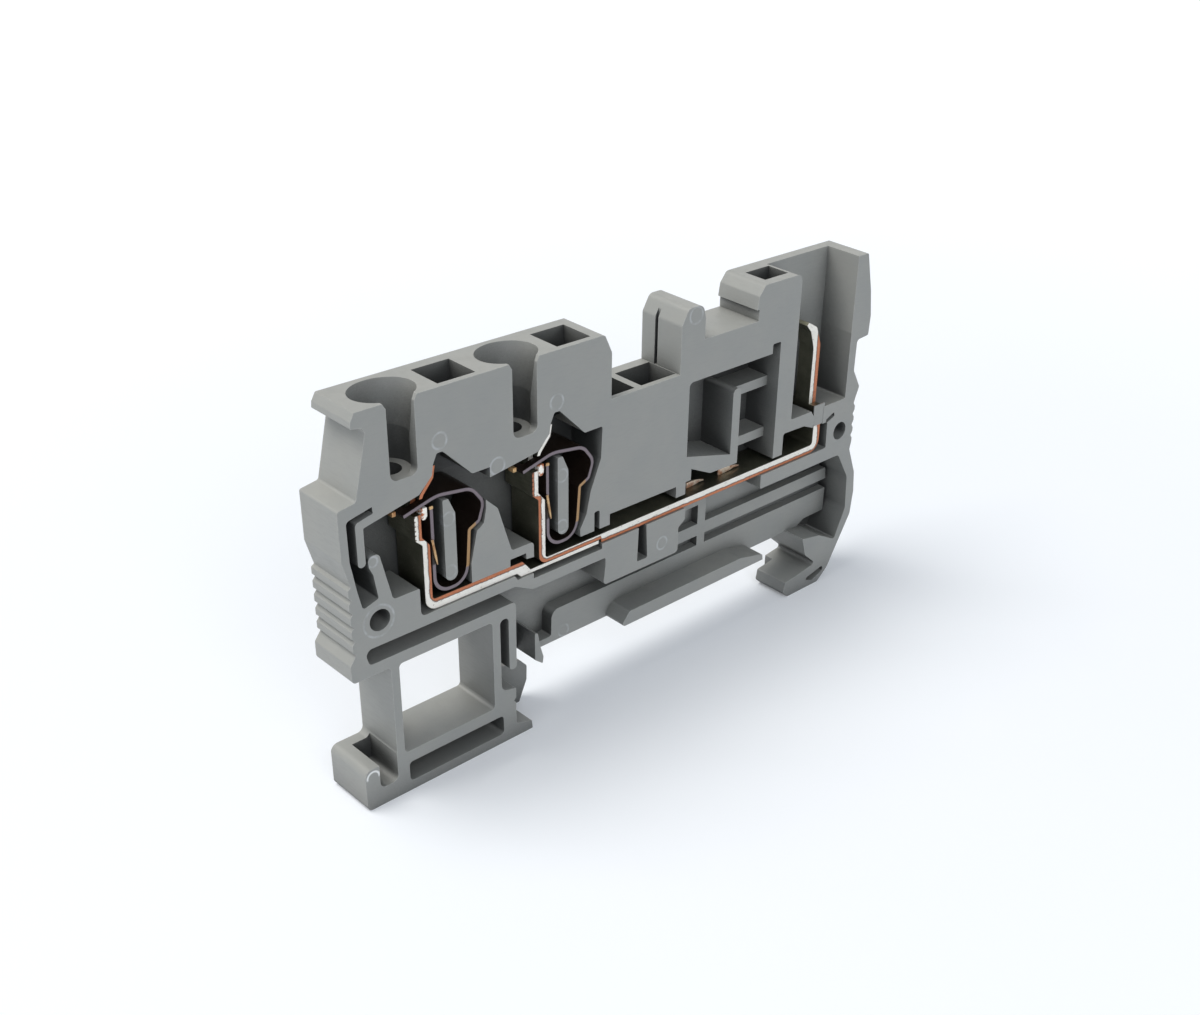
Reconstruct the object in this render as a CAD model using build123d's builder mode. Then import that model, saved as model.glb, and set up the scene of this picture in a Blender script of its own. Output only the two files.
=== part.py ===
"""Feed-through terminal block for a 35 mm rail, with two spring-cage clamps and a plug-in contact.

Millimetres. +Z is up, away from the rail. +X runs along the block, from the two clamps towards
the plug-in contact. +Y points to the closed back wall, and the open face looks towards -Y.
The origin is the middle of the rail's seat: the rail's centre line in X, half the thickness
in Y and the rail's top face in Z.
"""

import os

from build123d import *

# Driving sizes.
BACK_WALL = 1.1      # closed wall at the back
BAR_DEPTH = 3.7      # width of the bars and the springs
BAR_FRONT = 0.2      # from the open face to the bars and the springs
BAR_GAP = 0.2        # from the bars and the springs to the back wall
SKIN = 0.55          # thin wall in front of the shafts
TOP_Z = 32.2         # top faces, from the sketches' own zero
FOOT_Z = -5.0        # underside of both feet
CELL_PITCH = 12.25   # from one clamping cell to the next
CELLS = (0, CELL_PITCH)
RAIL_X = 4.3         # the rail's centre line, from the sketches' own zero
SEAT_Z = 1.3         # the rail's top face, from the sketches' own zero
WIRE_Y = 2.3         # depth of the wire's and the spring's middle, from the open face

# Sizes that follow.
POCKET = BAR_FRONT + BAR_DEPTH + BAR_GAP
PITCH = POCKET + BACK_WALL    # room that one block takes on the rail
OVERLAP = 0.2        # how far an island reaches into the back wall, so that they fuse

# Wire funnels and square shafts.
FUNNEL_X = -28.15
FUNNEL_AXES = (2.85, 2.35)
FUNNEL_NECK_Z = 28.4
WIRE_BORE = 1.95
WIRE_STOP_Z = 25.4
LEAD_BORE = 1.2
LEAD_LENGTH = 2.4
SLOT_WIDTH = 2.6
SLOT_FLARE = 0.3
FLARE_Z = 31.7
SHAFT_X = (-24.15, -20.4)
SHAFT_FLOOR_Z = 23.9
BRIDGE_SHAFTS = ((-6.05, -2.85), (-2.05, 2.3))
BRIDGE_FLOOR_Z = 14.0
BRIDGE_MOUTH_Z = 27.0

# Ribs on the two ends, where fingers hold the block.
GRIP_RIBS = 5
GRIP_STEP = 1.3
GRIP_Z = 11.2
END_RIBS = 4
END_STEP = 1.25
END_Z = 11.2

# Holes in the open face and pegs on the back, which line up neighbouring blocks.
PEG_SPOTS = ((-31.3, 13.55), (26.8, 13.1))
PEG_HOLE = 1.0
PEG_HOLE_DEPTH = 3.0
PEG_RADIUS = 0.9
PEG_LENGTH = 1.2

# Depths of inner walls, from the open face.
LEDGE_FRONT = 0.15
SEAT_WALL_FRONT = 2.7
PANE_FLOOR = 3.6
FIN_FRONT = 1.2
CROSS_RIB_FRONT = 1.5
LATCH_POCKET = (1.05, 2.6)    # from the open face, and its width
POST_GROOVE = (3.1, 0.4)      # from the open face, and its width

# Current bars and springs.
NECK_FRONT = 1.25    # narrow neck of a bar, where it goes through the spring's window
NECK_DEPTH = 1.9
BLADE_FRONT = 1.1
BLADE_DEPTH = 1.9
SPRING_THICK = 0.32
WINDOW_FRONT = 0.95
WINDOW_DEPTH = 2.5
BAR_FLOOR_Z = 11.73  # floor under the long bar
CORE_X = -24.1       # middle of the first post that a spring is wrapped around

FACE = Plane(origin=(-RAIL_X, -PITCH / 2, -SEAT_Z), x_dir=(1, 0, 0), z_dir=(0, -1, 0))


def outline(corners):
    """Draw a closed outline in the current sketch. A corner is its x, its z and its rounding."""
    points = [(x, z) for x, z, r in corners]
    rounding = [r for x, z, r in corners]
    with BuildLine() as edge:
        FilletPolyline(*points, radius=rounding, close=True)
    make_face(edge.edges())


def shifted(corners, step):
    """The same corners, moved along the block."""
    return [(x + step, z, r) for x, z, r in corners]


def level(height):
    """A flat plane at a height of the sketches."""
    return Plane.XY.offset(height - SEAT_Z)


def shaft(left, right, floor, top):
    """Cut a square shaft behind the front skin of the part being built."""
    with BuildSketch(FACE.offset(-SKIN)) as mouth:
        with Locations(((left + right) / 2, (floor + top) / 2)):
            Rectangle(right - left, top - floor)
    extrude(mouth.sketch, amount=-(POCKET - SKIN), mode=Mode.SUBTRACT)


# Outline of the moulding, clockwise from the ledge at the top left.
top_edge = [
    (-32.2, TOP_Z, 0.15), (-7.0, TOP_Z, 0.4), (-6.15, 30.4, 0.6),
    (-6.15, 26.0, 0), (2.35, 26.0, 0), (2.35, 30.7, 0.5), (3.2, TOP_Z, 0.7),
    (5.0, TOP_Z, 0.8), (5.4, 30.9, 0.3), (5.4, 28.75, 0), (12.7, 28.75, 0),
    (12.7, 29.9, 0), (12.4, 29.9, 0), (12.6, 31.2, 0.3), (13.4, TOP_Z, 0.6),
    (28.75, TOP_Z, 0.2),
]
right_end = [
    (29.75, 28.0, 0.5), (30.15, 25.3, 0.5), (30.05, 23.15, 0.2), (28.3, 23.0, 0.4),
    (28.25, 19.6, 0.8), (29.45, 17.5, 0.4), (29.0, 16.4, 0.2),
]
for rib in reversed(range(END_RIBS)):
    rib_z = END_Z + rib * END_STEP
    right_end += [(28.8, rib_z + 0.8, 0.1), (29.05, rib_z + 0.4, 0.1), (29.05, rib_z, 0.1)]
claw_foot = [
    (28.85, 10.3, 0.5), (30.1, 7.2, 1.5), (30.35, 4.8, 1.0), (30.1, 2.0, 1.0),
    (26.9, -3.7, 0.8), (25.4, FOOT_Z, 0.6), (20.4, FOOT_Z, 0.4),
    (19.65, -4.3, 0.3), (19.85, -3.1, 0.2), (24.8, -2.4, 0.3), (22.9, -0.7, 0.5),
    (22.3, SEAT_Z, 0),
]
rail_seat = [(-14.2, SEAT_Z, 0.2), (-16.6, 3.0, 0.3), (-16.6, 10.83, 0)]
flex_slot = [
    (-17.3, 11.18, 0), (-33.0, 11.18, 0.6), (-32.6, 9.65, 0.4), (-17.3, 9.65, 0.5),
]
rail_tongue = [
    (-17.35, 2.65, 0.35), (-18.15, 2.65, 0.35), (-18.15, 8.35, 0.45), (-19.12, 8.35, 0.45),
]
flexible_foot = [
    (-19.12, 0.75, 0.8), (-17.5, 0.45, 0.15), (-17.5, -0.6, 0), (-17.75, -0.9, 0),
    (-17.5, -1.2, 0), (-17.5, -3.6, 0.3), (-15.7, -4.1, 0.15), (-15.6, FOOT_Z, 0.1),
    (-33.95, FOOT_Z, 0.6), (-33.95, -0.75, 0.7), (-30.6, -0.75, 0.6), (-30.6, 8.55, 0.3),
]
left_end = [(-34.4, 8.55, 0.45), (-34.4, 10.3, 0.2)]
for rib in range(GRIP_RIBS):
    rib_z = GRIP_Z + rib * GRIP_STEP
    left_end += [(-33.75, rib_z, 0.1), (-34.05, rib_z + 0.3, 0.1), (-34.05, rib_z + 0.95, 0.1)]
left_end += [
    (-33.75, 17.55, 0.1), (-34.4, 20.0, 0.5), (-34.4, 24.5, 0.2), (-32.65, 24.8, 0.3),
    (-31.38, 30.3, 0.3), (-31.6, 30.75, 0.1), (-32.65, 30.95, 0.1), (-32.6, 31.5, 0.1),
]
moulding = (top_edge + right_end + claw_foot + rail_seat + flex_slot + rail_tongue
            + flexible_foot + left_end)

# Edge of the open pocket that holds the clamps and the bars.
cell_roof = [
    (-26.8, 23.5, 0.3), (-25.5, 24.8, 0.3), (-25.35, 25.7, 0.2), (-24.95, 26.6, 0.25),
    (-24.35, 26.6, 0.25), (-21.5, 23.7, 0.3),
]
front_plate = [
    (-7.15, 23.7, 0.2), (-7.3, 20.6, 0.5), (-8.5, 17.7, 1.0), (-9.0, 15.5, 0.5),
    (-9.75, 14.2, 0.2), (-9.7, 13.45, 0), (-8.05, 13.45, 0), (-8.05, 15.4, 0.2),
    (-7.4, 15.4, 0.2), (-7.4, 13.45, 0), (-6.15, 13.45, 0), (-6.15, 14.55, 0),
    (2.4, 14.5, 0), (2.4, 13.3, 0), (3.65, 13.3, 0), (3.65, 14.6, 0),
    (4.35, 14.6, 0), (4.35, 15.8, 0.2), (3.65, 16.2, 0.1),
]
right_window = [
    (3.65, 24.85, 0.5), (15.05, 24.85, 0), (15.05, 25.85, 0.15), (16.2, 25.85, 0.15),
    (16.2, 13.15, 0), (17.6, 13.15, 0), (17.6, 15.5, 0.3), (20.8, 15.4, 0.2),
    (22.25, 14.8, 0), (24.6, 14.8, 0.2), (24.7, BAR_FLOOR_Z, 0.2),
]
bar_channel = [
    (-7.05, BAR_FLOOR_Z, 0), (-7.05, 11.2, 0.1), (-15.2, 11.2, 0.1), (-15.2, BAR_FLOOR_Z, 0),
    (-17.0, BAR_FLOOR_Z, 0), (-17.3, 12.2, 0), (-27.3, 12.2, 0.5), (-27.3, 14.95, 0.15),
    (-29.9, 14.95, 0.4),
]
latch_strut = [
    (-30.95, 19.65, 0.45), (-32.0, 19.65, 0.45), (-31.95, 18.7, 0.2), (-31.6, 17.9, 0),
    (-31.25, 15.6, 0.2), (-32.8, 15.1, 0.3), (-33.2, 17.0, 0), (-33.65, 19.8, 0.5),
    (-33.7, 23.4, 0.4), (-31.25, 23.95, 0), (-31.2, 23.35, 0), (-32.9, 22.95, 0.4),
    (-32.9, 18.95, 0.34), (-32.2, 18.95, 0.34),
]
clamp_pocket = (
    [(-32.2, 22.35, 0.1)] + cell_roof + [(-19.7, 23.7, 0), (-19.7, 22.75, 0)]
    + shifted(cell_roof, CELL_PITCH) + front_plate + right_window + bar_channel + latch_strut
)
plug_chamber = [
    (17.95, 34.0, 0), (17.95, 32.2, 0), (18.45, 32.0, 0.2), (18.65, 31.5, 0.2),
    (18.65, 16.75, 0.2), (21.8, 16.75, 0), (22.25, 16.1, 0), (22.25, 14.0, 0),
    (23.8, 14.0, 0), (23.8, 16.75, 0), (27.2, 16.75, 0.2), (27.2, 34.0, 0),
]

# Edge of the recess under the bars, over the rail.
rail_recess = [
    (-17.0, 11.03, 0), (-15.3, 10.15, 0.2), (-6.6, 10.1, 0.2), (-6.6, 9.2, 0.1),
    (-6.85, 7.2, 0.4), (2.9, 7.2, 0.4), (2.9, 9.9, 0.2), (3.75, 10.5, 0.2),
    (3.75, 12.3, 0), (14.6, 12.3, 0), (14.6, 10.2, 0.2), (27.0, 10.2, 0.6),
    (28.9, 7.0, 1.0), (29.15, 3.0, 1.0), (27.7, -0.4, 0.2), (25.0, 1.0, 0.3),
    (22.3, 1.5, 0), (22.3, 0.5, 0), (-17.0, 0.5, 0),
]

with BuildPart() as housing:
    with BuildSketch(FACE):
        outline(moulding)
    extrude(amount=-PITCH)

    # The pockets, open at the front and closed by the back wall.
    with BuildSketch(FACE):
        outline(clamp_pocket)
        outline(plug_chamber)
        outline(rail_recess)
        outline([(-2.4, 12.2, 0), (-1.45, 12.2, 0), (-1.2, 8.1, 0.2), (-2.55, 8.1, 0.2)])
        outline([
            (-29.45, -4.0, 0.45), (-29.45, -1.95, 0.4), (-19.0, -1.95, 0.4), (-19.0, -4.0, 0.45),
        ])
        outline([(-32.5, -0.3, 0), (-32.5, -3.2, 0.6), (-30.65, -3.2, 0.6), (-30.65, -0.3, 0)])
        outline([(24.3, 14.6, 0), (24.4, 15.1, 0), (25.6, 15.65, 0.15), (25.7, 15.15, 0.15)])
        outline([(22.9, -3.9, 0.2), (26.1, -3.2, 0.3), (26.2, -3.8, 0.3), (24.5, -4.5, 0.3)])
    extrude(amount=-POCKET, mode=Mode.SUBTRACT)

    # The foot's window goes right through.
    with BuildSketch(FACE):
        outline([
            (-29.8, -0.75, 0.4), (-29.8, 8.55, 0.4), (-19.95, 8.55, 0.4), (-19.95, -0.75, 0.4),
        ])
    extrude(amount=-PITCH, mode=Mode.SUBTRACT)

    # The jaw stops short of the back.
    with BuildSketch(FACE.offset(-POCKET)):
        outline([(19.0, -5.5, 0), (19.0, -2.0, 0), (22.3, -2.0, 0), (22.3, -5.5, 0)])
    extrude(amount=-BACK_WALL, mode=Mode.SUBTRACT)

    # The catch that snaps under the rail is a plate at the back.
    with BuildSketch(FACE.offset(-POCKET)):
        outline([
            (-17.6, 0.3, 0), (-15.4, -0.1, 0.3), (-13.7, -0.3, 0.3), (-12.9, -1.2, 0.5),
            (-12.95, -2.8, 0.5), (-13.9, FOOT_Z, 0), (-17.6, FOOT_Z, 0),
        ])
    extrude(amount=-BACK_WALL)

    # Walls that stand in the clamp pocket, from the back wall to the open face.
    with BuildSketch(FACE):
        outline([
            (-21.95, 13.4, 0), (-21.95, 15.3, 0.3), (-21.25, 18.2, 0.2), (-20.5, 18.7, 0.2),
            (-20.2, 20.0, 0.3), (-20.2, 20.8, 0), (-19.0, 19.6, 0.5), (-17.6, 14.95, 0.4),
            (-15.15, 14.95, 0.4), (-15.15, 13.4, 0), (-16.0, 13.5, 0), (-16.0, 14.1, 0.1),
            (-17.8, 14.1, 0.1), (-17.8, 13.4, 0),
        ])
        for cell in CELLS:
            outline(shifted([
                (-24.6, 22.2, 0.1), (-24.05, 22.2, 0.1), (-23.4, 20.7, 0.2), (-23.4, 14.5, 0.59),
                (-24.6, 14.5, 0.59),
            ], cell))
        outline([(9.75, 14.4, 0), (9.75, 22.5, 0.5), (10.8, 22.5, 0.5), (10.8, 14.4, 0)])
        outline([(3.5, 17.3, 0), (9.9, 15.6, 0), (9.9, 14.4, 0), (7.0, 14.5, 0), (3.5, 16.2, 0)])
    extrude(amount=-(POCKET + OVERLAP))

    # Cross ribs beside the middle wall, set back from the open face.
    with BuildSketch(FACE.offset(-CROSS_RIB_FRONT)):
        for low, high in ((15.2, 16.2), (20.8, 21.8)):
            outline([(10.6, low, 0), (10.6, high, 0), (16.4, high, 0), (16.4, low, 0)])
    extrude(amount=-(POCKET - CROSS_RIB_FRONT + OVERLAP))

    # The wall over the rail's two edges, its post and its long rib.
    with BuildSketch(FACE.offset(-SEAT_WALL_FRONT)):
        outline([
            (-13.4, SEAT_Z, 0), (-13.4, 2.0, 0), (-11.0, 2.0, 0.2), (-10.9, 4.75, 0.9),
            (28.6, 4.7, 0), (28.6, 1.9, 0), (25.4, 1.9, 0), (24.2, SEAT_Z, 0),
        ])
        outline([(5.0, 5.85, 0), (5.0, 7.2, 0), (28.4, 7.2, 0), (28.6, 5.85, 0)])
        outline([(8.4, 4.0, 0), (8.4, 11.7, 0), (9.5, 11.7, 0), (9.5, 4.0, 0)])
        outline([(5.0, 9.4, 0), (5.0, 11.7, 0), (9.0, 11.7, 0), (9.0, 9.4, 0)])
    extrude(amount=-(POCKET - SEAT_WALL_FRONT + OVERLAP))
    with BuildSketch(FACE.offset(-PANE_FLOOR)):
        outline([(5.0, 4.0, 0), (5.0, 11.7, 0), (27.0, 11.7, 0), (28.4, 9.0, 0), (28.6, 4.0, 0)])
    extrude(amount=-(POCKET - PANE_FLOOR + OVERLAP))

    # Ledge that carries the front edge of the seat.
    with BuildSketch(FACE.offset(-LEDGE_FRONT)):
        outline([
            (-4.4, SEAT_Z, 0.3), (-3.2, 2.75, 0.4), (12.5, 2.75, 0.8), (15.9, 2.0, 0.3),
            (16.0, SEAT_Z, 0),
        ])
    extrude(amount=-(POCKET - LEDGE_FRONT + OVERLAP))

    # Hanging fin beside the catch.
    with BuildSketch(FACE.offset(-FIN_FRONT)):
        outline([
            (-14.2, 4.4, 0.1), (-13.85, 4.2, 0.1), (-13.55, 2.6, 0.2), (-13.2, 1.4, 0.1),
            (-13.3, 0.65, 0.1), (-14.2, 1.4, 0.2),
        ])
    extrude(amount=-(POCKET - FIN_FRONT + OVERLAP))

    # Wire funnels, with the straight channel and the smaller hole into the clamp below.
    for cell in CELLS:
        hole_x = FUNNEL_X + cell - RAIL_X
        hole_y = WIRE_Y - PITCH / 2
        with BuildSketch(level(TOP_Z)):
            with Locations((hole_x, hole_y)):
                Ellipse(*FUNNEL_AXES)
        with BuildSketch(level(FUNNEL_NECK_Z)):
            with Locations((hole_x, hole_y)):
                Circle(WIRE_BORE)
        loft(mode=Mode.SUBTRACT)
        with BuildSketch(level(FUNNEL_NECK_Z)):
            with Locations((hole_x, hole_y)):
                Circle(WIRE_BORE)
        extrude(amount=WIRE_STOP_Z - FUNNEL_NECK_Z, mode=Mode.SUBTRACT)
        with BuildSketch(level(WIRE_STOP_Z)):
            with Locations((hole_x, hole_y)):
                Circle(LEAD_BORE)
        extrude(amount=-LEAD_LENGTH, mode=Mode.SUBTRACT)
        with BuildSketch(FACE):
            slot_left = FUNNEL_X + cell + 0.05 - SLOT_WIDTH / 2
            slot_right = slot_left + SLOT_WIDTH
            outline([
                (slot_left - SLOT_FLARE, TOP_Z + 1, 0), (slot_left - SLOT_FLARE, TOP_Z, 0),
                (slot_left, FLARE_Z, 0), (slot_left, WIRE_STOP_Z, 0.7),
                (slot_right, WIRE_STOP_Z, 0.7), (slot_right, FLARE_Z, 0),
                (slot_right + SLOT_FLARE, TOP_Z, 0), (slot_right + SLOT_FLARE, TOP_Z + 1, 0),
            ])
        extrude(amount=-WIRE_Y, mode=Mode.SUBTRACT)
        shaft(SHAFT_X[0] + cell, SHAFT_X[1] + cell, SHAFT_FLOOR_Z, TOP_Z + 1)

    # Shafts over the bar, for a bridge.
    for left, right in BRIDGE_SHAFTS:
        shaft(left, right, BRIDGE_FLOOR_Z, BRIDGE_MOUTH_Z)

    # Small pocket in the latch block, and the groove down the post's left face.
    with BuildSketch(FACE.offset(-LATCH_POCKET[0])):
        outline([(14.4, 29.2, 0), (14.4, 33.0, 0), (17.7, 33.0, 0), (17.7, 29.2, 0)])
    extrude(amount=-LATCH_POCKET[1], mode=Mode.SUBTRACT)
    with BuildSketch(FACE.offset(-POST_GROOVE[0])):
        outline([(2.0, 26.0, 0), (2.0, 33.0, 0), (2.75, 33.0, 0), (2.75, 26.0, 0)])
    extrude(amount=-POST_GROOVE[1], mode=Mode.SUBTRACT)

    # Holes for a neighbour's pegs, and this block's own pegs.
    with BuildSketch(FACE):
        with Locations(*PEG_SPOTS):
            Circle(PEG_HOLE)
    extrude(amount=-PEG_HOLE_DEPTH, mode=Mode.SUBTRACT)
    with BuildSketch(FACE.offset(-PITCH + OVERLAP)):
        with Locations(*PEG_SPOTS):
            Circle(PEG_RADIUS)
    extrude(amount=-(PEG_LENGTH + OVERLAP))

# Leg of a bar in its clamp: up from the bend, out to the left and a stepped top.
leg_left = [(-27.3, 21.55, 0), (-27.3, 19.3, 0.2), (-26.65, 18.7, 0.3)]
leg_right = [(-25.92, 18.5, 0.3), (-26.65, 19.4, 0.3), (-26.65, 21.55, 0)]

# Narrow neck of a leg, and the head that lies against the roof over it.
leg_neck = [
    (-26.9, 21.2, 0), (-26.9, 22.1, 0.1), (-26.7, 23.2, 0.1), (-26.4, 23.2, 0.1),
    (-26.3, 22.1, 0), (-26.3, 21.2, 0),
]
leg_head = [
    (-26.72, 22.95, 0), (-26.6, 23.35, 0.2), (-25.5, 24.57, 0.3), (-25.26, 25.5, 0),
    (-25.04, 25.5, 0), (-25.25, 24.42, 0.3), (-26.3, 23.2, 0.2), (-26.42, 22.95, 0),
]


def neck_and_head(cell):
    """Build the neck and the head of the leg in one cell onto the part being built."""
    with BuildSketch(FACE.offset(-NECK_FRONT)) as neck:
        outline(shifted(leg_neck, cell))
    extrude(neck.sketch, amount=-NECK_DEPTH)
    with BuildSketch(FACE.offset(-BAR_FRONT)) as head:
        outline(shifted(leg_head, cell))
    extrude(head.sketch, amount=-BAR_DEPTH)


# The long bar: clamp leg, run under the middle and up into the plug-in contact.
with BuildPart() as long_bar:
    with BuildSketch(FACE.offset(-BAR_FRONT)):
        outline(
            shifted(leg_left, CELL_PITCH) + [
                (-14.4, 12.18, 0.95), (-7.0, 12.18, 0), (-7.0, 11.78, 0), (23.65, 11.78, 1.4),
                (23.65, 17.0, 0), (22.6, 17.0, 0), (22.6, 12.68, 0.4), (-13.67, 12.68, 0.3),
            ] + shifted(leg_right, CELL_PITCH)
        )
    extrude(amount=-BAR_DEPTH)
    neck_and_head(CELL_PITCH)
    with BuildSketch(FACE.offset(-BLADE_FRONT)):
        outline([
            (22.6, 16.8, 0), (22.6, 23.2, 1.5), (22.0, 25.1, 0.6), (21.3, 25.9, 0),
            (21.6, 26.15, 0), (22.9, 25.4, 0.6), (23.65, 23.4, 1.2), (23.65, 16.8, 0),
        ])
    extrude(amount=-BLADE_DEPTH)

# The short bar: clamp leg, run to the right and a thin end lapped under the long bar.
with BuildPart() as short_bar:
    with BuildSketch(FACE.offset(-BAR_FRONT)):
        outline(
            leg_left + [
                (-26.65, 12.25, 1.2), (-16.9, 12.25, 0.1), (-16.5, 11.78, 0.1), (-7.3, 11.78, 0),
                (-7.3, 12.13, 0), (-15.4, 12.13, 0.1), (-16.3, 13.25, 0.2), (-25.92, 13.25, 0.3),
            ] + leg_right
        )
    extrude(amount=-BAR_DEPTH)
    neck_and_head(0)

# Path of a clamp spring around its post: down the short leg, round the bottom, up, out into the
# loop and back over the bar.
spring_path = [
    (-1.5, 21.95), (-1.5, 13.68), (1.55, 13.68), (1.95, 15.3), (2.2, 18.5), (3.25, 19.0),
    (3.8, 20.6), (2.6, 22.25), (-0.9, 22.75), (-4.2, 21.9),
]
spring_bends = [1.5, 1.5, 1.0, 0.25, 0.35, 1.1, 1.6, 3.0]
spring_window = [(-3.6, 21.7, 0), (-3.6, 23.3, 0), (-1.9, 23.3, 0), (-1.9, 21.7, 0)]


def wrap_spring(cell):
    """Build the bent strip around the post of one cell, with its window over the bar."""
    points = [(CORE_X + cell + x, z) for x, z in spring_path]
    with BuildSketch(FACE.offset(-BAR_FRONT)) as strip:
        with BuildLine() as centre:
            FilletPolyline(*points, radius=spring_bends)
        trace(centre.edges(), line_width=SPRING_THICK)
    extrude(strip.sketch, amount=-BAR_DEPTH)
    with BuildSketch(FACE.offset(-WINDOW_FRONT)) as window:
        outline(shifted(spring_window, CORE_X + cell))
    extrude(window.sketch, amount=-WINDOW_DEPTH, mode=Mode.SUBTRACT)


with BuildPart() as left_spring:
    wrap_spring(CELLS[0])

with BuildPart() as right_spring:
    wrap_spring(CELLS[1])

os.makedirs("parts", exist_ok=True)
housing.part.label = "housing"
export_step(housing.part, "parts/housing.step")
long_bar.part.label = "long_bar"
export_step(long_bar.part, "parts/long_bar.step")
short_bar.part.label = "short_bar"
export_step(short_bar.part, "parts/short_bar.step")
left_spring.part.label = "left_spring"
export_step(left_spring.part, "parts/left_spring.step")
right_spring.part.label = "right_spring"
export_step(right_spring.part, "parts/right_spring.step")
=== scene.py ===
"""Looks for the feed-through terminal block: grey plastic, tinned copper bars, dark springs."""

import math

import bpy
from mathutils import Matrix, Vector


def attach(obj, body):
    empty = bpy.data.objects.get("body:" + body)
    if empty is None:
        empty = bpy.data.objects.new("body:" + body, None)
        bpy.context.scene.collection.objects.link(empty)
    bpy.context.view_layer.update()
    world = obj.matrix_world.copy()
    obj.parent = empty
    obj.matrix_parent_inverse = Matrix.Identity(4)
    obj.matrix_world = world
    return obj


MM = 0.001

# Axes, as a vector's index.
ALONG, DEEP, UP = 0, 1, 2

# The photograph's camera, found from the block's straight edges.
CAMERA_AT = Vector((-91.8, -91.035, 77.8)) * MM
CAMERA_RIGHT = Vector((0.69585904, -0.71646891, 0.04952276))
CAMERA_DOWN = Vector((-0.3314074, -0.38151898, -0.86290927))
CAMERA_AHEAD = Vector((0.63714153, 0.58405101, -0.50292653))
LENS_MM = 44.42
SENSOR_MM = 36.0
SHIFT_X = -0.0985
SHIFT_Y = 0.0508

# Underside of the feet, in millimetres of the block's own frame.
FLOOR_Z = -6.3

# Places in the patterns are counted from the left front corner over the rail,
# as they were measured: x along the block, depth from the open face, z up.
DRAWING_SHIFT = (4.3, 2.6, 1.3)
CELL_PITCH = 12.25

# Round marks of the ejector pins: x, z, radius, depth of the face. Those at 5.2 are on the back.
PIN_MARKS = [
    (-24.6, 27.6, 0.7, 0.0), (-18.9, 23.55, 0.75, 0.0), (-12.4, 27.5, 0.7, 0.0),
    (0.73, 8.97, 0.65, 0.0), (-24.1, 20.35, 0.6, 0.3), (-24.15, 15.35, 0.6, 0.3),
    (-11.85, 20.35, 0.6, 0.3), (-11.9, 15.35, 0.6, 0.3), (4.15, 31.35, 0.8, 0.0),
    (-9.46, 2.0, 0.6, 2.7), (-31.57, 19.1, 0.45, 0.0), (-31.4, 13.5, 1.45, 0.0),
    (-25.0, 24.5, 1.0, 5.2), (-9.0, 20.0, 1.0, 5.2), (6.5, 19.0, 1.0, 5.2),
    (22.0, 23.5, 1.0, 5.2), (12.0, 7.0, 1.0, 5.2), (-10.0, 7.0, 1.0, 5.2),
]
# Where the front of the foot's hook has been rubbed white.
RUBBED_HOOK = (-33.15, -1.65, 0.6)

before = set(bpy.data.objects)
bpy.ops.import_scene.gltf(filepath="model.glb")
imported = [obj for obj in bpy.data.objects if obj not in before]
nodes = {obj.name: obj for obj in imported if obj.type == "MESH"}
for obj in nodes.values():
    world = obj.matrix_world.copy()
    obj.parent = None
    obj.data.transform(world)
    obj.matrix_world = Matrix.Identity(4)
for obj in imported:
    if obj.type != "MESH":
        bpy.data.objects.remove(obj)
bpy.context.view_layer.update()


def srgb(red, green, blue):
    """A display colour, 0 to 255, as the shader's linear colour."""
    def linear(value):
        value /= 255.0
        return value / 12.92 if value <= 0.04045 else ((value + 0.055) / 1.055) ** 2.4
    return (linear(red), linear(green), linear(blue), 1.0)


# The moulding.
PLASTIC = srgb(149, 150, 147)
PLASTIC_PATCH = srgb(153, 153, 149)
PLASTIC_STREAK = srgb(142, 143, 141)
# Lighter edges: wear, and a painted highlight.
PLASTIC_EDGE_WEAR_AND_HIGHLIGHT = srgb(196, 197, 192)
# Painted shade for the hollows, the funnels' floors and inner walls.
PLASTIC_PAINTED_SHADE = srgb(34, 36, 37)
# Painted highlight on the rings of the pin marks.
PIN_RING_HIGHLIGHT = srgb(196, 199, 202)
RUBBED_WHITE = srgb(232, 233, 232)
# The bars: cut edge and broad faces.
TIN = srgb(246, 244, 238)
TIN_PATCH = srgb(226, 222, 212)
COPPER = srgb(158, 82, 48)
COPPER_GRAIN = srgb(214, 144, 106)
# Nicks, and painted shade along the rims of the cut edge.
NICK_AND_RIM_SHADE = srgb(70, 46, 34)
FACE_TIN = srgb(112, 112, 96)
FACE_TIN_PATCH = srgb(156, 154, 136)
# Painted shade on the broad faces in hollows.
FACE_TIN_PAINTED_SHADE = srgb(52, 53, 44)
# The springs: cut edge, golden part of it, and broad faces.
STEEL_CUT = srgb(122, 111, 117)
STEEL_RIM = srgb(14, 11, 12)
STEEL_WALL = srgb(34, 26, 22)
STEEL_WALL_PATCH = srgb(52, 42, 36)
GOLDEN_CUT = srgb(170, 134, 92)
GOLDEN_RIM = srgb(58, 38, 24)
# Painted shadow of the tongue on the cut line of the leg.
TONGUE_PAINTED_SHADOW = srgb(40, 34, 30)
# Scraps of metal in the clamps and over the long bar.
GOLDEN_SCRAP = srgb(160, 116, 76)
GOLDEN_SCRAP_PATCH = srgb(206, 172, 124)
PALE_SCRAP = srgb(196, 140, 108)
PALE_SCRAP_PATCH = srgb(240, 224, 206)
# Painted highlight along the rims of the scraps.
SCRAP_RIM_HIGHLIGHT = srgb(236, 214, 180)
UPSET_TIN = srgb(244, 240, 232)
UPSET_COPPER = srgb(176, 106, 70)
UPSET_CRACK = srgb(96, 58, 40)


# Small steps that every material is put together from.

def put(tree, socket, value):
    """Link a socket, or set a plain number."""
    if isinstance(value, bpy.types.NodeSocket):
        tree.links.new(value, socket)
    else:
        socket.default_value = value


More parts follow.
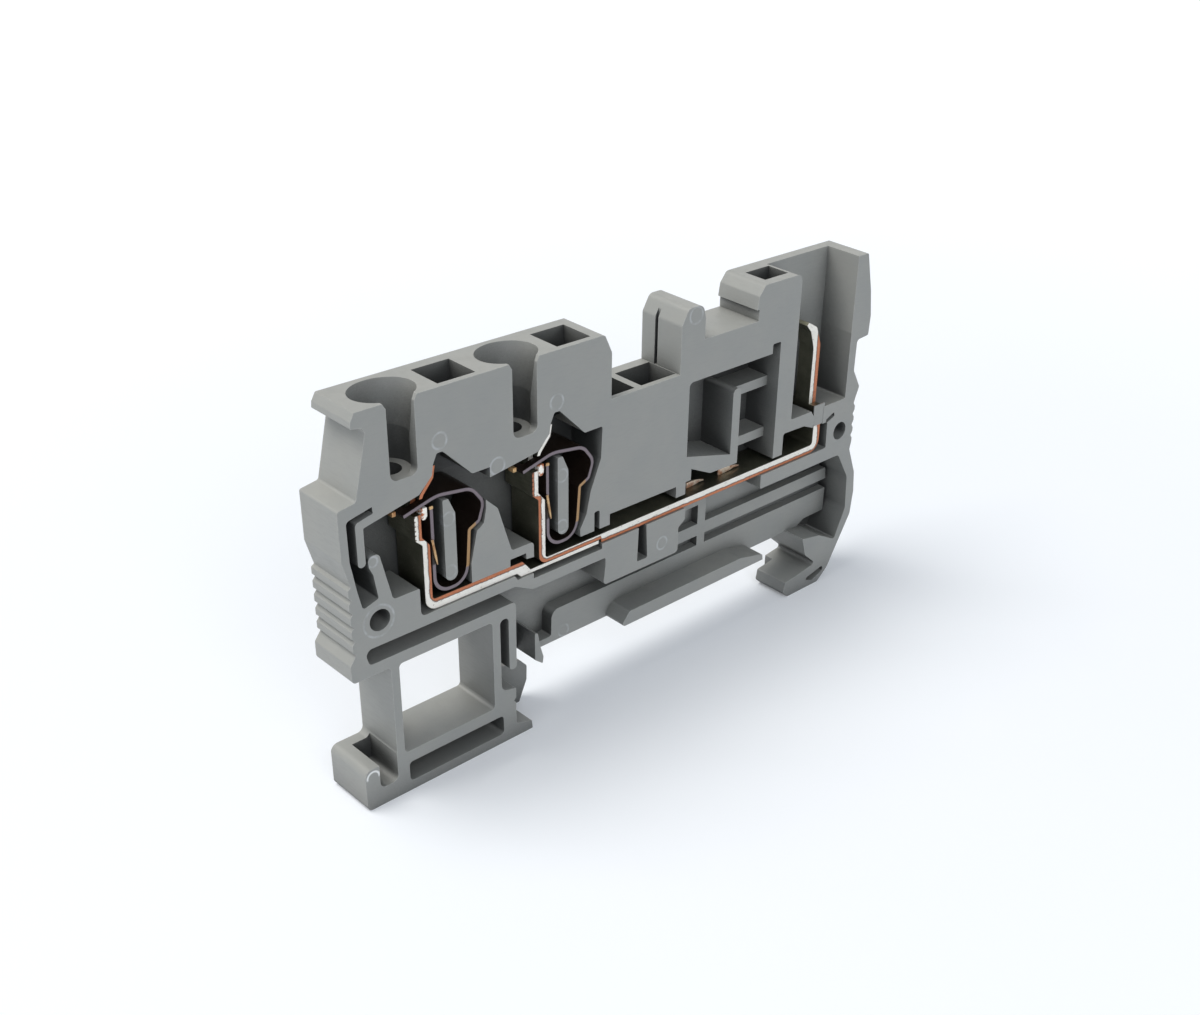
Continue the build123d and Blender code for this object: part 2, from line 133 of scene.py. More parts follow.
def reckon(tree, operation, first, second=0.0):
    """One step of arithmetic."""
    node = tree.nodes.new("ShaderNodeMath")
    node.operation = operation
    put(tree, node.inputs[0], first)
    put(tree, node.inputs[1], second)
    return node.outputs[0]


def plus(tree, first, second):
    return reckon(tree, "ADD", first, second)


def minus(tree, first, second):
    return reckon(tree, "SUBTRACT", first, second)


def times(tree, first, *others):
    for other in others:
        first = reckon(tree, "MULTIPLY", first, other)
    return first


def most(tree, first, second):
    return reckon(tree, "MAXIMUM", first, second)


def length(tree, first, second):
    """Length of the long side of a right triangle."""
    squares = plus(tree, times(tree, first, first), times(tree, second, second))
    return reckon(tree, "SQRT", squares)


def rise(tree, value, low, high):
    """A soft step from 0 at low to 1 at high."""
    node = tree.nodes.new("ShaderNodeMapRange")
    node.interpolation_type = "SMOOTHSTEP"
    put(tree, node.inputs["Value"], value)
    put(tree, node.inputs["From Min"], low)
    put(tree, node.inputs["From Max"], high)
    return node.outputs["Result"]


def fall(tree, value, low, high):
    """A soft step from 1 at low to 0 at high."""
    return minus(tree, 1.0, rise(tree, value, low, high))


def blend(tree, share, first, second):
    """A colour between two others."""
    node = tree.nodes.new("ShaderNodeMix")
    node.data_type = "RGBA"
    put(tree, node.inputs[0], share)
    put(tree, node.inputs[6], first)
    put(tree, node.inputs[7], second)
    return node.outputs[2]


def between(tree, share, first, second):
    """A number between two others."""
    node = tree.nodes.new("ShaderNodeMix")
    put(tree, node.inputs[0], share)
    put(tree, node.inputs[2], first)
    put(tree, node.inputs[3], second)
    return node.outputs[0]


def noise(tree, place, scale, detail=2.0, roughness=0.5):
    """Cloudy noise, from 0 to 1."""
    node = tree.nodes.new("ShaderNodeTexNoise")
    put(tree, node.inputs["Vector"], place)
    put(tree, node.inputs["Scale"], scale)
    node.inputs["Detail"].default_value = detail
    node.inputs["Roughness"].default_value = roughness
    return node.outputs["Fac"]


def stretch(tree, place, scale, turn=(0.0, 0.0, 0.0)):
    """A place, scaled and turned for a pattern with a grain."""
    node = tree.nodes.new("ShaderNodeMapping")
    put(tree, node.inputs["Vector"], place)
    node.inputs["Scale"].default_value = scale
    node.inputs["Rotation"].default_value = turn
    return node.outputs["Vector"]


def drawing_place(tree):
    """Object coordinates in millimetres, counted as on the drawing."""
    where = tree.nodes.new("ShaderNodeTexCoord")
    node = tree.nodes.new("ShaderNodeMapping")
    node.inputs["Scale"].default_value = (1000.0, 1000.0, 1000.0)
    node.inputs["Location"].default_value = DRAWING_SHIFT
    tree.links.new(where.outputs["Object"], node.inputs["Vector"])
    return node.outputs["Vector"]


def split(tree, vector):
    """The x, y and z of a vector."""
    node = tree.nodes.new("ShaderNodeSeparateXYZ")
    tree.links.new(vector, node.inputs[0])
    return node.outputs


def facing(tree, axis):
    """How far a face looks along one axis, from -1 to 1."""
    node = tree.nodes.new("ShaderNodeNewGeometry")
    return split(tree, node.outputs["True Normal"])[axis]


def bump(tree, height, strength, depth_mm):
    """The normal of a surface that a height pattern roughens."""
    node = tree.nodes.new("ShaderNodeBump")
    node.inputs["Strength"].default_value = strength
    node.inputs["Distance"].default_value = depth_mm * MM
    tree.links.new(height, node.inputs["Height"])
    return node.outputs["Normal"]


def new_group(name, inputs, outputs):
    """An empty node group with named sockets, its input node and its output node."""
    group = bpy.data.node_groups.new(name, "ShaderNodeTree")
    for socket_name, kind, value in inputs:
        socket = group.interface.new_socket(name=socket_name, in_out="INPUT", socket_type=kind)
        if value is not None:
            socket.default_value = value
    for socket_name, kind in outputs:
        group.interface.new_socket(name=socket_name, in_out="OUTPUT", socket_type=kind)
    return group, group.nodes.new("NodeGroupInput"), group.nodes.new("NodeGroupOutput")


def use(tree, group, **values):
    """Place a group and give it its own values, under the names of its sockets."""
    node = tree.nodes.new("ShaderNodeGroup")
    node.node_tree = group
    for name, value in values.items():
        put(tree, node.inputs[name.replace("_", " ").title()], value)
    return node.outputs


NUMBER = "NodeSocketFloat"
VECTOR = "NodeSocketVector"


def grain_group():
    """Fine moulded grain, and broad cloudy patches, in millimetres."""
    group, given, out = new_group(
        "grain", [("Place", VECTOR, None), ("Fine", NUMBER, 6.0), ("Broad", NUMBER, 0.3)],
        [("Fine Grain", NUMBER), ("Broad Patches", NUMBER), ("Streaks", NUMBER)])
    place = given.outputs["Place"]
    fine = noise(group, place, given.outputs["Fine"], 3.0)
    broad = noise(group, place, given.outputs["Broad"], 3.0, 0.55)
    flow = stretch(group, place, (0.5, 0.5, 4.0), (0.0, 0.35, 0.0))
    streaks = noise(group, flow, 1.6, 4.0, 0.6)
    group.links.new(fine, out.inputs["Fine Grain"])
    group.links.new(broad, out.inputs["Broad Patches"])
    group.links.new(streaks, out.inputs["Streaks"])
    return group


def edge_wear_and_shading_group():
    """Where an edge stands out, broken up by noise; it marks wear, and also painted highlight
    and painted shade along edges.
    """
    group, given, out = new_group(
        "edge_wear_and_shading",
        [("Place", VECTOR, None), ("Radius", NUMBER, 0.0001), ("Breaks", NUMBER, 2.0)],
        [("Edge", NUMBER)])
    rounded = group.nodes.new("ShaderNodeBevel")
    rounded.samples = 6
    group.links.new(given.outputs["Radius"], rounded.inputs["Radius"])
    shape = group.nodes.new("ShaderNodeNewGeometry")
    product = group.nodes.new("ShaderNodeVectorMath")
    product.operation = "DOT_PRODUCT"
    group.links.new(rounded.outputs["Normal"], product.inputs[0])
    group.links.new(shape.outputs["True Normal"], product.inputs[1])
    sharp = rise(group, minus(group, 1.0, product.outputs["Value"]), 0.02, 0.25)
    ragged = noise(group, given.outputs["Place"], given.outputs["Breaks"], 4.0, 0.7)
    edge = times(group, sharp, rise(group, ragged, 0.3, 0.6))
    group.links.new(edge, out.inputs["Edge"])
    return group


def hollow_group():
    """How deep in a hollow a spot lies, 0 in the open and 1 shut in."""
    group, given, out = new_group("hollow", [("Reach", NUMBER, 0.003)], [("Depth", NUMBER)])
    shelter = group.nodes.new("ShaderNodeAmbientOcclusion")
    shelter.samples = 8
    group.links.new(given.outputs["Reach"], shelter.inputs["Distance"])
    group.links.new(minus(group, 1.0, shelter.outputs["AO"]), out.inputs["Depth"])
    return group


def pin_mark_group():
    """A faint raised ring with a slightly sunk middle, on a face at one depth."""
    group, given, out = new_group(
        "pin_mark",
        [("Place", VECTOR, None), ("Centre X", NUMBER, 0.0), ("Centre Z", NUMBER, 0.0),
         ("Radius", NUMBER, 0.7), ("Depth", NUMBER, 0.0)],
        [("Ring", NUMBER), ("Inside", NUMBER)])
    x, y, z = split(group, given.outputs["Place"])
    away = length(group, minus(group, x, given.outputs["Centre X"]),
                  minus(group, z, given.outputs["Centre Z"]))
    past = minus(group, away, given.outputs["Radius"])
    ring = fall(group, reckon(group, "ABSOLUTE", past), 0.04, 0.15)
    inside = fall(group, past, -0.1, 0.0)
    off_level = reckon(group, "ABSOLUTE", minus(group, y, given.outputs["Depth"]))
    on_face = fall(group, off_level, 0.25, 0.4)
    group.links.new(times(group, ring, on_face), out.inputs["Ring"])
    group.links.new(times(group, inside, on_face), out.inputs["Inside"])
    return group


def strip_side_group():
    """How far in a spot lies from the outer line of a bent strip, a box with round corners."""
    group, given, out = new_group(
        "strip_side",
        [("Place", VECTOR, None), ("Left", NUMBER, 0.0), ("Right", NUMBER, 1.0),
         ("Floor", NUMBER, 0.0), ("Corner", NUMBER, 1.0)],
        [("Inward", NUMBER)])
    x, _, z = split(group, given.outputs["Place"])
    corner = given.outputs["Corner"]
    side = reckon(group, "MINIMUM", minus(group, x, given.outputs["Left"]),
                  minus(group, given.outputs["Right"], x))
    height = minus(group, z, given.outputs["Floor"])
    plain = reckon(group, "MINIMUM", side, height)
    short_of_side = most(group, minus(group, corner, side), 0.0)
    short_of_floor = most(group, minus(group, corner, height), 0.0)
    rounded = minus(group, corner, length(group, short_of_side, short_of_floor))
    in_corner = times(group, reckon(group, "LESS_THAN", side, corner),
                      reckon(group, "LESS_THAN", height, corner))
    group.links.new(between(group, in_corner, plain, rounded), out.inputs["Inward"])
    return group


GRAIN = grain_group()
EDGE_WEAR_AND_SHADING = edge_wear_and_shading_group()
HOLLOW = hollow_group()
PIN_MARK = pin_mark_group()
STRIP_SIDE = strip_side_group()


def new_material(name):
    """An empty node material with its shader."""
    material = bpy.data.materials.new(name)
    material.use_nodes = True
    tree = material.node_tree
    tree.nodes.clear()
    output = tree.nodes.new("ShaderNodeOutputMaterial")
    shader = tree.nodes.new("ShaderNodeBsdfPrincipled")
    tree.links.new(shader.outputs["BSDF"], output.inputs["Surface"])
    return material, tree, shader


def dress(node, material):
    """Give a carried-over node its material."""
    target = nodes[node]
    for slot in target.material_slots:
        slot.material = material


def painted_plastic_shade(tree, x, y, z):
    """How much painted shade darkens the moulding in its hollows, at the foot of the funnels and
    on inner walls.
    """
    hollow = use(tree, HOLLOW, reach=0.0075)["Depth"]
    upward = rise(tree, facing(tree, UP), 0.3, 0.9)
    shade = times(tree, rise(tree, hollow, 0.22, 0.78), between(tree, upward, 0.9, 0.42))
    # Painted shade on the funnels' floors. The zone has no limit towards the back, so it paints
    # shade on the back wall too.
    funnel_floor = times(
        tree, rise(tree, z, 22.4, 22.6), fall(tree, z, 25.0, 25.4),
        reckon(tree, "GREATER_THAN", x, -31.5), reckon(tree, "LESS_THAN", x, -13.0),
        reckon(tree, "GREATER_THAN", y, 0.6))
    shade = most(tree, shade, times(tree, funnel_floor, 0.82))
    # Walls inside the block that face its left end, which get little of the window's light.
    inner_wall = times(
        tree, rise(tree, minus(tree, 0.0, facing(tree, ALONG)), 0.5, 0.9),
        reckon(tree, "GREATER_THAN", x, -28.0), reckon(tree, "LESS_THAN", z, 24.0))
    return most(tree, shade, times(tree, inner_wall, 0.3))


def moulded_plastic():
    """Neutral grey polyamide with cloudy patches, fine grain, pin marks whose rings carry a
    painted highlight, edges lightened by wear and a painted highlight, and painted shade in the
    hollows.
    """
    material, tree, shader = new_material("moulded_grey_plastic")
    place = drawing_place(tree)
    x, y, z = split(tree, place)
    grain = use(tree, GRAIN, place=place, fine=7.0, broad=0.22)
    body = blend(tree, rise(tree, grain["Broad Patches"], 0.3, 0.7), PLASTIC, PLASTIC_PATCH)
    streaks = rise(tree, grain["Streaks"], 0.45, 0.75)
    body = blend(tree, times(tree, streaks, 0.2), body, PLASTIC_STREAK)

    rings = insides = 0.0
    for centre_x, centre_z, radius, depth in PIN_MARKS:
        mark = use(tree, PIN_MARK, place=place, centre_x=centre_x, centre_z=centre_z,
                   radius=radius, depth=depth)
        rings = plus(tree, rings, mark["Ring"])
        insides = plus(tree, insides, mark["Inside"])
    # The pin marks' rings, lightened in patches by a painted highlight.
    patchy = between(tree, rise(tree, noise(tree, place, 1.1), 0.38, 0.62), 0.08, 0.5)
    body = blend(tree, times(tree, rings, patchy), body, PIN_RING_HIGHLIGHT)

    rub_x, rub_z, rub_radius = RUBBED_HOOK
    rub = use(tree, PIN_MARK, place=place, centre_x=rub_x, centre_z=rub_z, radius=rub_radius,
              depth=0.0)["Ring"]
    upper_arc = rise(tree, z, rub_z - 0.25, rub_z + 0.05)
    body = blend(tree, times(tree, rub, upper_arc), body, RUBBED_WHITE)

    # Edges lightened by wear and by a painted highlight.
    edge = use(tree, EDGE_WEAR_AND_SHADING, place=place, radius=0.00014, breaks=1.5)["Edge"]
    body = blend(tree, times(tree, edge, 0.5), body, PLASTIC_EDGE_WEAR_AND_HIGHLIGHT)
    # Painted shade in the hollows, on the funnels' floors and on inner walls.
    body = blend(tree, painted_plastic_shade(tree, x, y, z), body, PLASTIC_PAINTED_SHADE)
    tree.links.new(body, shader.inputs["Base Color"])

    dull = between(tree, rise(tree, grain["Streaks"], 0.4, 0.7), 0.42, 0.56)
    tree.links.new(dull, shader.inputs["Roughness"])
    shader.inputs["Specular IOR Level"].default_value = 0.4
    height = plus(tree, times(tree, grain["Fine Grain"], 0.12), times(tree, rings, 0.6))
    height = minus(tree, height, times(tree, insides, 0.25))
    height = plus(tree, height, times(tree, grain["Streaks"], 0.15))
    tree.links.new(bump(tree, height, 0.6, 0.06), shader.inputs["Normal"])
    return material


def tinned_copper(name, left, right, floor, corner, leg_left, copper_inside):
    """A punched strip: tinned broad faces, and a cut edge of tin smeared over bare copper.

    The copper shows on the inner side of the seam along the short bar, and on its outer side
    along the long bar. The floor is the height of the strip's underside left and right of its
    small step.
    """
    material, tree, shader = new_material(name)
    place = drawing_place(tree)
    x, _, z = split(tree, place)
    grain = use(tree, GRAIN, place=place, fine=9.0, broad=0.8)

    # How far in from the strip's outer line a spot lies, made ragged.
    underside = between(tree, rise(tree, x, -7.1, -6.9), floor[0], floor[1])
    inward = use(tree, STRIP_SIDE, place=place, left=left, right=right, floor=underside,
                 corner=corner)["Inward"]
    on_leg = times(tree, rise(tree, z, 19.0, 19.25), reckon(tree, "LESS_THAN", x, -5.0))
    from_leg = minus(tree, x, leg_left)
    ragged = noise(tree, place, 1.7, 5.0, 0.75)
    inward = plus(tree, between(tree, on_leg, inward, from_leg),
                  times(tree, minus(tree, ragged, 0.5), 0.3))

    # The seam between copper and tin.
    if copper_inside:
        seam = between(tree, rise(tree, z, 13.2, 13.6), 0.64, 0.47)
    else:
        on_blade = times(tree, rise(tree, z, 14.0, 15.0), rise(tree, x, 15.0, 16.0))
        seam = between(tree, on_blade, 0.31, 0.5)
    past_seam = minus(tree, inward, seam)
    band = (rise if copper_inside else fall)(tree, past_seam, -0.05, 0.05)

    # Nicks: specks, the torn teeth of a leg's outer edge and the seam itself, and painted shade
    # along the rims of the cut edge.
    specks = noise(tree, stretch(tree, place, (1.0, 1.0, 1.6)), 2.6, 5.0, 0.75)
    teeth = rise(tree, reckon(tree, "SINE", times(tree, z, 15.0)), 0.35, 0.7)
    teeth = times(tree, teeth, fall(tree, from_leg, 0.16, 0.26), on_leg)
    rim = use(tree, EDGE_WEAR_AND_SHADING, place=place, radius=0.00011, breaks=1.2)["Edge"]
    seam_line = fall(tree, reckon(tree, "ABSOLUTE", past_seam), 0.03, 0.08)
    nicks_and_rim_shade = most(tree, rise(tree, specks, 0.62, 0.68), teeth)
    # Painted shade along the rims of the cut edge.
    nicks_and_rim_shade = most(tree, nicks_and_rim_shade, times(tree, rim, 0.9))
    nicks_and_rim_shade = most(tree, nicks_and_rim_shade, times(tree, seam_line, 0.7))

    cut = rise(tree, minus(tree, 0.0, facing(tree, DEEP)), 0.55, 0.8)
    tin = blend(tree, grain["Broad Patches"], TIN, TIN_PATCH)
    copper = blend(tree, grain["Fine Grain"], COPPER, COPPER_GRAIN)
    edge = blend(tree, nicks_and_rim_shade, blend(tree, band, tin, copper), NICK_AND_RIM_SHADE)
    face = blend(tree, grain["Broad Patches"], FACE_TIN, FACE_TIN_PATCH)
    # Painted shade on the broad faces deep in hollows.
    hollow = rise(tree, use(tree, HOLLOW, reach=0.004)["Depth"], 0.3, 0.95)
    face = blend(tree, times(tree, hollow, 0.85), face, FACE_TIN_PAINTED_SHADE)
    tree.links.new(blend(tree, cut, face, edge), shader.inputs["Base Color"])
    tree.links.new(between(tree, cut, 0.36, 0.5), shader.inputs["Roughness"])
    tree.links.new(between(tree, cut, 0.85, 0.45), shader.inputs["Metallic"])
    height = plus(tree, times(tree, ragged, 0.5), times(tree, nicks_and_rim_shade, -0.8))
    tree.links.new(bump(tree, height, 0.5, 0.08), shader.inputs["Normal"])
    return material


def spring_steel(name, cell_x):
    """Dark blued strip with a paler line along its cut edge, golden on the clamping leg, and a
    painted shadow of the tongue on that line.
    """
    material, tree, shader = new_material(name)
    place = drawing_place(tree)
    x, _, z = split(tree, place)
    in_cell = minus(tree, x, cell_x)
    grain = use(tree, GRAIN, place=place, fine=12.0, broad=1.2)
    rim = use(tree, EDGE_WEAR_AND_SHADING, place=place, radius=0.00016, breaks=0.05)["Edge"]
    cut = rise(tree, minus(tree, 0.0, facing(tree, DEEP)), 0.55, 0.8)
    line = blend(tree, rim, STEEL_CUT, STEEL_RIM)
    wall = blend(tree, grain["Broad Patches"], STEEL_WALL, STEEL_WALL_PATCH)
    golden = times(
        tree, rise(tree, in_cell, -22.75, -22.6), fall(tree, in_cell, -21.3, -21.1),
        rise(tree, z, 14.95, 15.15), fall(tree, z, 18.9, 19.05))
    line = blend(tree, golden, line, blend(tree, rim, GOLDEN_CUT, GOLDEN_RIM))
    # Painted shadow of the tongue on the cut line behind it.
    painted_tongue_shadow = times(
        tree, rise(tree, z, 16.4, 16.6), fall(tree, z, 18.75, 18.9),
        fall(tree, in_cell, -25.1, -25.0))
    line = blend(tree, painted_tongue_shadow, line, TONGUE_PAINTED_SHADOW)
    tree.links.new(blend(tree, cut, wall, line), shader.inputs["Base Color"])
    tree.links.new(between(tree, grain["Fine Grain"], 0.3, 0.42), shader.inputs["Roughness"])
    tree.links.new(between(tree, cut, 0.5, 0.3), shader.inputs["Metallic"])
    height = times(tree, grain["Fine Grain"], 0.2)
    tree.links.new(bump(tree, height, 0.3, 0.03), shader.inputs["Normal"])
    return material


def torn_copper(name, tone, patch):
    """Torn scraps of copper and of brass-coloured tin, with a painted highlight along the rim.
    """
    material, tree, shader = new_material(name)
    place = drawing_place(tree)
    grain = use(tree, GRAIN, place=place, fine=10.0, broad=1.5)
    body = blend(tree, rise(tree, grain["Broad Patches"], 0.35, 0.65), tone, patch)
    rim = use(tree, EDGE_WEAR_AND_SHADING, place=place, radius=0.00008, breaks=2.0)["Edge"]
    # Painted highlight along the rim.
    tree.links.new(blend(tree, rim, body, SCRAP_RIM_HIGHLIGHT), shader.inputs["Base Color"])
    tree.links.new(between(tree, grain["Fine Grain"], 0.35, 0.5), shader.inputs["Roughness"])
    shader.inputs["Metallic"].default_value = 0.6
    return material


def bright_upset():
    """Upset tin, with copper in patches and dark cracks along its edges."""
    material, tree, shader = new_material("bright_upset")
    place = drawing_place(tree)
    grain = use(tree, GRAIN, place=place, fine=8.0, broad=2.2)
    rim = use(tree, EDGE_WEAR_AND_SHADING, place=place, radius=0.0001, breaks=2.5)["Edge"]
    body = blend(tree, rise(tree, grain["Broad Patches"], 0.5, 0.62), UPSET_TIN, UPSET_COPPER)
    tree.links.new(blend(tree, times(tree, rim, 0.6), body, UPSET_CRACK),
                   shader.inputs["Base Color"])
    tree.links.new(between(tree, grain["Fine Grain"], 0.35, 0.55), shader.inputs["Roughness"])
    shader.inputs["Metallic"].default_value = 0.5
    tree.links.new(bump(tree, grain["Fine Grain"], 0.4, 0.05), shader.inputs["Normal"])
    return material


plastic = moulded_plastic()
dress("housing", plastic)
dress("short_bar", tinned_copper("tinned_short_bar", left=-26.65, right=60.0,
                                 floor=(12.25, 12.25), corner=1.2, leg_left=-27.4,
                                 copper_inside=True))
dress("long_bar", tinned_copper("tinned_long_bar", left=-14.4, right=23.65,
                                floor=(12.18, 11.78), corner=1.1, leg_left=-15.15,
                                copper_inside=False))
dress("left_spring", spring_steel("left_spring_steel", 0.0))
dress("right_spring", spring_steel("right_spring_steel", CELL_PITCH))


def pick_faces(piece, axis, way):
    """Select, in edit mode, the faces that look squarely one way along an axis."""
    bpy.ops.mesh.select_all(action="DESELECT")
    bpy.ops.mesh.select_mode(type="FACE")
    bpy.ops.object.mode_set(mode="OBJECT")
    for face in piece.data.polygons:
        face.select = face.normal[axis] * way > 0.9
    bpy.ops.object.mode_set(mode="EDIT")


def start_block(name, low_mm, high_mm):
    """A block between two corners of the drawing, ready to be shaped in edit mode."""
    bpy.ops.object.select_all(action="DESELECT")
    shift = Vector(DRAWING_SHIFT)
    low = (Vector(low_mm) - shift) * MM
    high = (Vector(high_mm) - shift) * MM
    bpy.ops.mesh.primitive_cube_add(size=1.0, location=(low + high) / 2)
    piece = bpy.context.object
    piece.name = name
    piece.scale = high - low
    bpy.ops.object.transform_apply(location=True, rotation=True, scale=True)
    bpy.ops.object.mode_set(mode="EDIT")
    return piece


def end_block(piece, material, radius_mm=0.03):
    """Round the edges, give the piece its finish and let it ride on the block."""
    bpy.ops.mesh.select_all(action="SELECT")
    bpy.ops.mesh.bevel(offset=radius_mm * MM, segments=2, affect="EDGES", clamp_overlap=True)
    bpy.ops.mesh.select_all(action="SELECT")
    bpy.ops.mesh.normals_make_consistent(inside=False)
    bpy.ops.object.mode_set(mode="OBJECT")
    bpy.ops.object.shade_smooth_by_angle(angle=math.radians(30))
    piece.data.materials.append(material)
    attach(piece, "root")


def spring_tongue(name, material, cell_x):
    """The slanted tongue under the inner leaf of a spring."""
    piece = start_block(name, (cell_x - 25.88, 0.03, 16.5), (cell_x - 25.68, 0.17, 18.95))
    bpy.ops.mesh.subdivide(number_cuts=2)
    pick_faces(piece, UP, -1)
    bpy.ops.transform.translate(value=(0.42 * MM, 0.0, 0.0), use_proportional_edit=True,
                                proportional_edit_falloff="LINEAR", proportional_size=2.6 * MM)
    pick_faces(piece, UP, -1)
    bpy.ops.transform.resize(value=(0.45, 1.0, 1.0))
    end_block(piece, material)


def leaf_cap(name, material, cell_x):
    """The bright bent top of the inner leaf."""
    piece = start_block(name, (cell_x - 25.87, 0.03, 21.78), (cell_x - 25.52, 0.17, 22.0))
    pick_faces(piece, UP, 1)
    bpy.ops.mesh.inset(thickness=0.04 * MM)
    bpy.ops.transform.translate(value=(0.0, 0.0, 0.05 * MM))
    end_block(piece, material, 0.02)


def golden_glint_block(name, material, cell_x):
    """A small golden block under the roof, left of the spring's end, that stands for a golden
    glint: a painted highlight.
    """
    piece = start_block(name, (cell_x - 29.33, 0.25, 22.2), (cell_x - 28.95, 0.9, 22.62))
    pick_faces(piece, DEEP, -1)
    bpy.ops.mesh.inset(thickness=0.07 * MM)
    bpy.ops.transform.translate(value=(0.0, -0.05 * MM, 0.0))
    end_block(piece, material)


def leg_block(name, material, cell_x):
    """The upset block beside the top of a leg."""
    piece = start_block(name, (cell_x - 26.63, 0.08, 21.3), (cell_x - 26.08, 0.9, 22.1))
    pick_faces(piece, UP, -1)
    drop = (-0.06 * MM, 0.0, -0.28 * MM)
    bpy.ops.mesh.extrude_region_move(TRANSFORM_OT_translate={"value": drop})
    bpy.ops.transform.resize(value=(0.5, 1.0, 1.0))
    end_block(piece, material, 0.05)


def torn_tongue(name, material, left, right):
    """A torn tongue that stands up from the run of the long bar and thins out to the right."""
    piece = start_block(name, (left, 1.56, 12.7), (right, 1.74, 13.28))
    bpy.ops.mesh.subdivide(number_cuts=3)
    pick_faces(piece, ALONG, 1)
    bpy.ops.transform.resize(value=(1.0, 0.4, 0.25), use_proportional_edit=True,
                             proportional_edit_falloff="SMOOTH",
                             proportional_size=(right - left) * 0.7 * MM)
    bpy.ops.transform.translate(value=(0.0, 0.0, -0.14 * MM))
    end_block(piece, material)


def bar_cover(name, material):
    """The thin bridge of the moulding over the rising end of the long bar."""
    piece = start_block(name, (22.28, 0.02, 15.1), (23.95, 0.17, 17.18))
    pick_faces(piece, UP, -1)
    drop = (0.0, 0.0, -0.22 * MM)
    bpy.ops.mesh.extrude_region_move(TRANSFORM_OT_translate={"value": drop})
    bpy.ops.transform.resize(value=(0.8, 1.0, 1.0))
    end_block(piece, material)


def seen_directly(tree):
    """1 where the camera or a reflection sees the thing itself, and the light path node."""
    ray = tree.nodes.new("ShaderNodeLightPath")
    return most(tree, ray.outputs["Is Camera Ray"], ray.outputs["Is Glossy Ray"]), ray


def make_floor():
    """A wide pale floor that meets the block's feet and turns to white further off."""
    bpy.ops.object.select_all(action="DESELECT")
    bpy.ops.mesh.primitive_plane_add(size=6.0, location=(0, 0, FLOOR_Z * MM))
    floor = bpy.context.object
    floor.name = "floor"
    bpy.ops.object.transform_apply(location=True, rotation=True, scale=True)
    material, tree, shader = new_material("pale_floor")
    place = drawing_place(tree)
    x, y, _ = split(tree, place)
    cloudy = noise(tree, place, 0.012, 3.0)
    tree.links.new(blend(tree, cloudy, (0.72, 0.75, 0.8, 1.0), (0.76, 0.78, 0.82, 1.0)),
                   shader.inputs["Base Color"])
    shader.inputs["Roughness"].default_value = 0.9

    away = length(tree, x, y)
    lift = between(tree, rise(tree, away, 30.0, 330.0), 0.15, 0.44)
    lift = plus(tree, lift, times(tree, rise(tree, away, 300.0, 2200.0), 0.4))
    glow = tree.nodes.new("ShaderNodeEmission")
    glow.inputs["Color"].default_value = (0.98, 0.99, 1.0, 1.0)
    seen, _ = seen_directly(tree)
    tree.links.new(times(tree, seen, lift), glow.inputs["Strength"])
    both = tree.nodes.new("ShaderNodeAddShader")
    tree.links.new(shader.outputs["BSDF"], both.inputs[0])
    tree.links.new(glow.outputs["Emission"], both.inputs[1])
    output = next(node for node in tree.nodes if node.type == "OUTPUT_MATERIAL")
    tree.links.new(both.outputs["Shader"], output.inputs["Surface"])
    floor.data.materials.append(material)


def make_lamp(name, place_mm, aim_mm, size_mm, watts, colour):
    """A soft square lamp that points at a spot."""
    lamp = bpy.data.lights.new(name, "AREA")
    lamp.size = size_mm * MM
    lamp.energy = watts
    lamp.color = colour
    holder = bpy.data.objects.new(name, lamp)
    bpy.context.scene.collection.objects.link(holder)
    place = Vector(place_mm) * MM
    holder.location = place
    holder.rotation_mode = "QUATERNION"
    holder.rotation_quaternion = (Vector(aim_mm) * MM - place).to_track_quat("-Z", "Y")


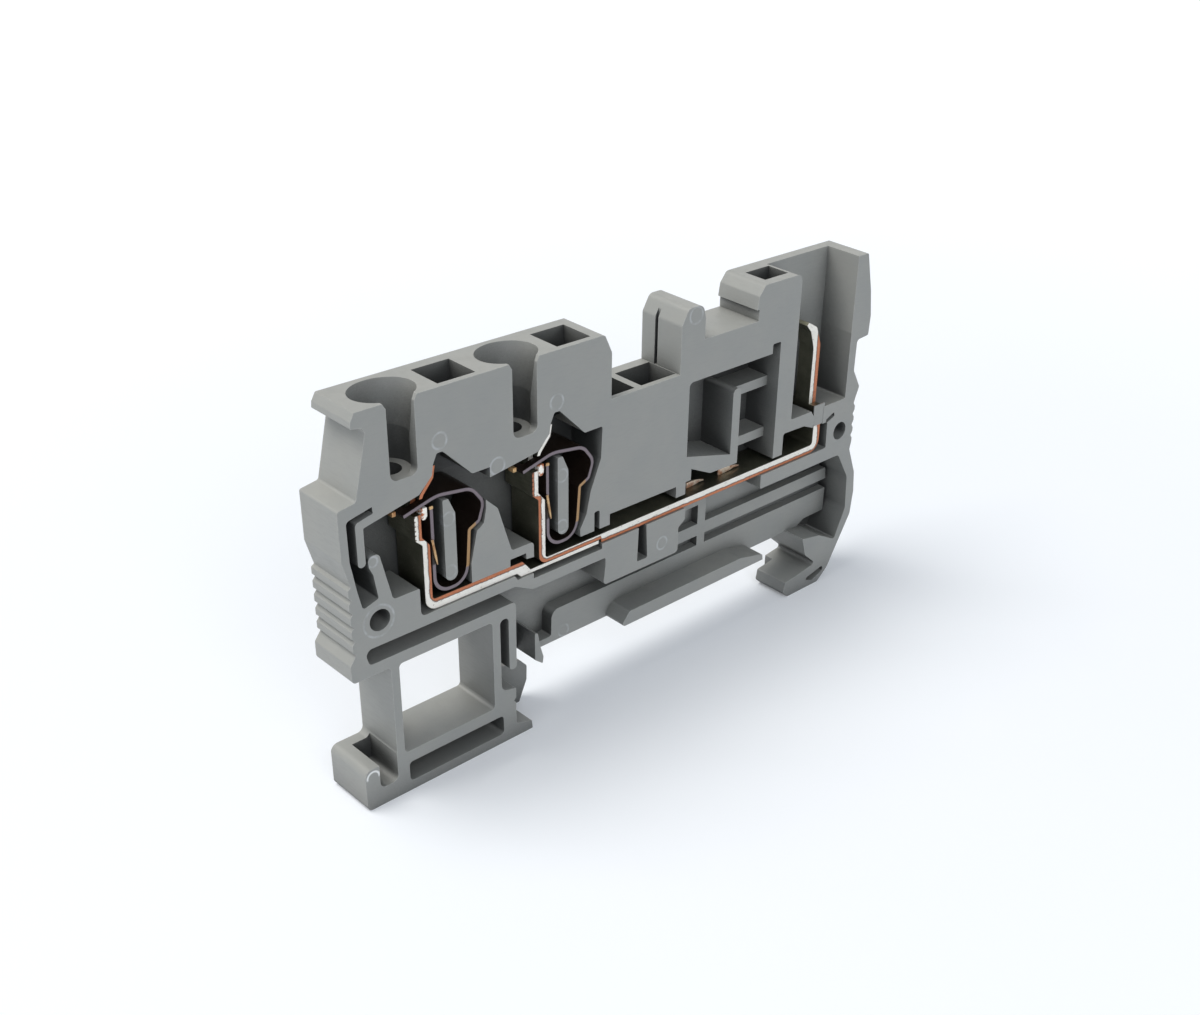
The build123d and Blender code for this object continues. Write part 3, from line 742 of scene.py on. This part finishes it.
def light_scene():
    """A pale room, a wide window light from behind on the left, and a weak light in front."""
    world = bpy.data.worlds.new("studio")
    bpy.context.scene.world = world
    world.use_nodes = True
    tree = world.node_tree
    back = tree.nodes["Background"]
    seen, ray = seen_directly(tree)
    seen = most(tree, seen, ray.outputs["Is Transmission Ray"])
    tree.links.new(between(tree, seen, 0.34, 1.0), back.inputs["Strength"])
    tree.links.new(blend(tree, seen, (0.86, 0.93, 1.0, 1.0), (0.99, 0.995, 1.0, 1.0)),
                   back.inputs["Color"])
    middle = (0, 0, 8)
    make_lamp("window_lamp", (-430, 310, 1050), middle, 740, 10.8, (1.0, 0.975, 0.92))
    make_lamp("room_light", (-420, -820, 620), middle, 700, 4.3, (0.93, 0.96, 1.0))


def make_camera():
    """The camera at the photograph's place and angle."""
    camera_data = bpy.data.cameras.new("photo_camera")
    camera_data.sensor_fit = "HORIZONTAL"
    camera_data.sensor_width = SENSOR_MM
    camera_data.lens = LENS_MM
    camera_data.shift_x = SHIFT_X
    camera_data.shift_y = SHIFT_Y
    camera_data.clip_start = 0.01
    camera_data.clip_end = 20.0
    camera = bpy.data.objects.new("photo_camera", camera_data)
    bpy.context.scene.collection.objects.link(camera)
    axes = Matrix((CAMERA_RIGHT, -CAMERA_DOWN, -CAMERA_AHEAD)).transposed()
    camera.matrix_world = Matrix.Translation(CAMERA_AT) @ axes.to_4x4()
    bpy.context.scene.camera = camera


golden_scrap = torn_copper("golden_scrap", GOLDEN_SCRAP, GOLDEN_SCRAP_PATCH)
pale_scrap = torn_copper("pale_copper_scrap", PALE_SCRAP, PALE_SCRAP_PATCH)
bright_tin = bright_upset()
for side, cell_x, bar in (("left", 0.0, "short_bar"), ("right", CELL_PITCH, "long_bar")):
    spring_tongue(side + "_spring_tongue", golden_scrap, cell_x)
    leaf_cap(side + "_leaf_cap", golden_scrap, cell_x)
    # A golden block that paints a glint as a highlight.
    golden_glint_block(side + "_golden_glint_block", golden_scrap, cell_x)
    leg_block(side + "_leg_block", bright_tin, cell_x)
torn_tongue("torn_tongue_a", pale_scrap, 5.4, 7.84)
torn_tongue("torn_tongue_b", pale_scrap, 9.87, 12.9)
bar_cover("bar_cover", plastic)
make_floor()
light_scene()
make_camera()
bpy.context.scene.view_settings.view_transform = "Standard"
